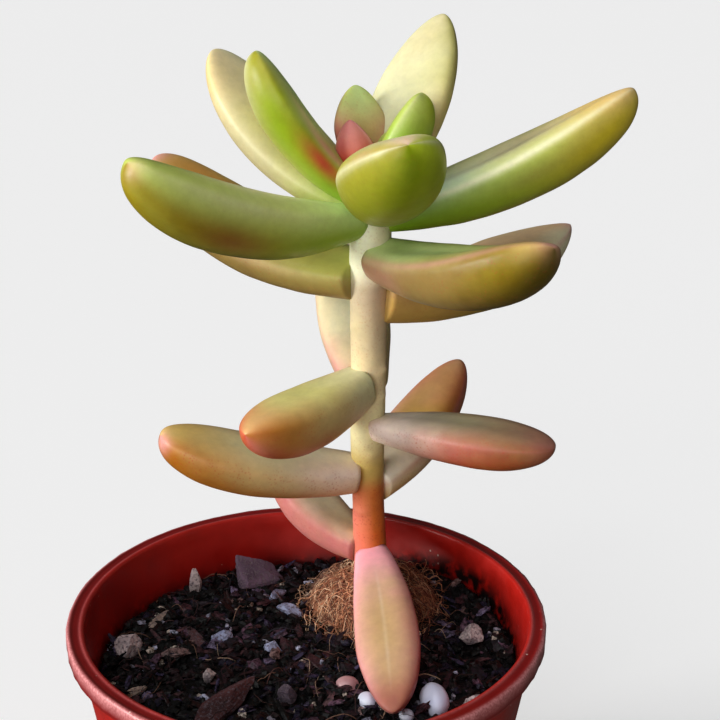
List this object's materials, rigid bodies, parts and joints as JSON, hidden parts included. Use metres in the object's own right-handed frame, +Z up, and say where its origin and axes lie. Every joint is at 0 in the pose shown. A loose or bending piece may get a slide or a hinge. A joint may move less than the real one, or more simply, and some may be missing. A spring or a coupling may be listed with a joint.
{
  "type": "potted coppertone stonecrop",
  "caption": "Leafy succulent stem with thick waxy leaves in a loose crown, standing in a small round plastic nursery pot filled with gritty mix; a free-standing houseplant.",
  "frame": {"origin": "middle of the pot's flat underside, on the surface that it stands on", "axes": "+Z up along the pot and the stem, the picture looks along +Y from the -Y side, +X to the right"},
  "size_m": [0.0761, 0.0671, 0.1297],
  "materials": {
    "pot_plastic": "thin moulded terracotta-red plastic, slightly glossy, with a duller scuffed rim",
    "potting_mix": "dark moist peat with crumbs of purple-brown bark and loose fibres",
    "coir_fibre": "matted light brown coconut fibre",
    "stem_skin": "smooth succulent stem, cream above and coppery red at its foot",
    "leaf_green": "waxy green leaf skin with a pale bloom, olive below and coppery at the tip",
    "leaf_cream": "waxy pale cream-green leaf skin with a faint pink edge",
    "leaf_copper": "waxy olive-gold leaf skin with coppery margins",
    "leaf_rose": "waxy peach and rose leaf skin with a yellow-olive middle",
    "white_stone": "blue-white perlite and glossy pale pebbles",
    "pumice_stone": "beige porous pumice and bleached chips",
    "bark_grey": "weathered grey-purple bark flake",
    "bark_brown": "damp red-brown bark"
  },
  "bodies": {
    "root": {"bark_chip_brown": "bark_brown", "bark_chip_left": "pumice_stone", "bark_chip_pale": "pumice_stone", "bark_chunk_front": "bark_brown", "bark_flake_back": "bark_grey", "bud": "leaf_rose", "fibre_plug": "coir_fibre", "leaf_collar_back_left": "leaf_copper", "leaf_collar_back_right": "leaf_copper", "leaf_collar_right": "leaf_copper", "leaf_crown_back_left": "leaf_cream", "leaf_crown_back_right": "leaf_cream", "leaf_crown_far_left": "leaf_green", "leaf_crown_front": "leaf_green", "leaf_crown_inner": "leaf_green", "leaf_crown_left": "leaf_green", "leaf_crown_right": "leaf_green", "leaf_low_back_left": "leaf_rose", "leaf_low_back_right": "leaf_rose", "leaf_low_front": "leaf_rose", "leaf_middle_back": "leaf_cream", "leaf_middle_front_left": "leaf_cream", "leaf_middle_left": "leaf_copper", "leaf_middle_right": "leaf_rose", "pebble_front": "white_stone", "pebble_pink": "pumice_stone", "pebble_small": "white_stone", "pebble_under_leaf": "white_stone", "perlite_back": "white_stone", "perlite_front": "white_stone", "perlite_left": "white_stone", "perlite_middle": "white_stone", "perlite_upright": "white_stone", "pot": "pot_plastic", "pumice_front_right": "pumice_stone", "pumice_grey": "bark_grey", "pumice_left": "pumice_stone", "pumice_right": "pumice_stone", "pumice_small": "pumice_stone", "soil": "potting_mix", "stem": "stem_skin"}
  },
  "joints": []
}
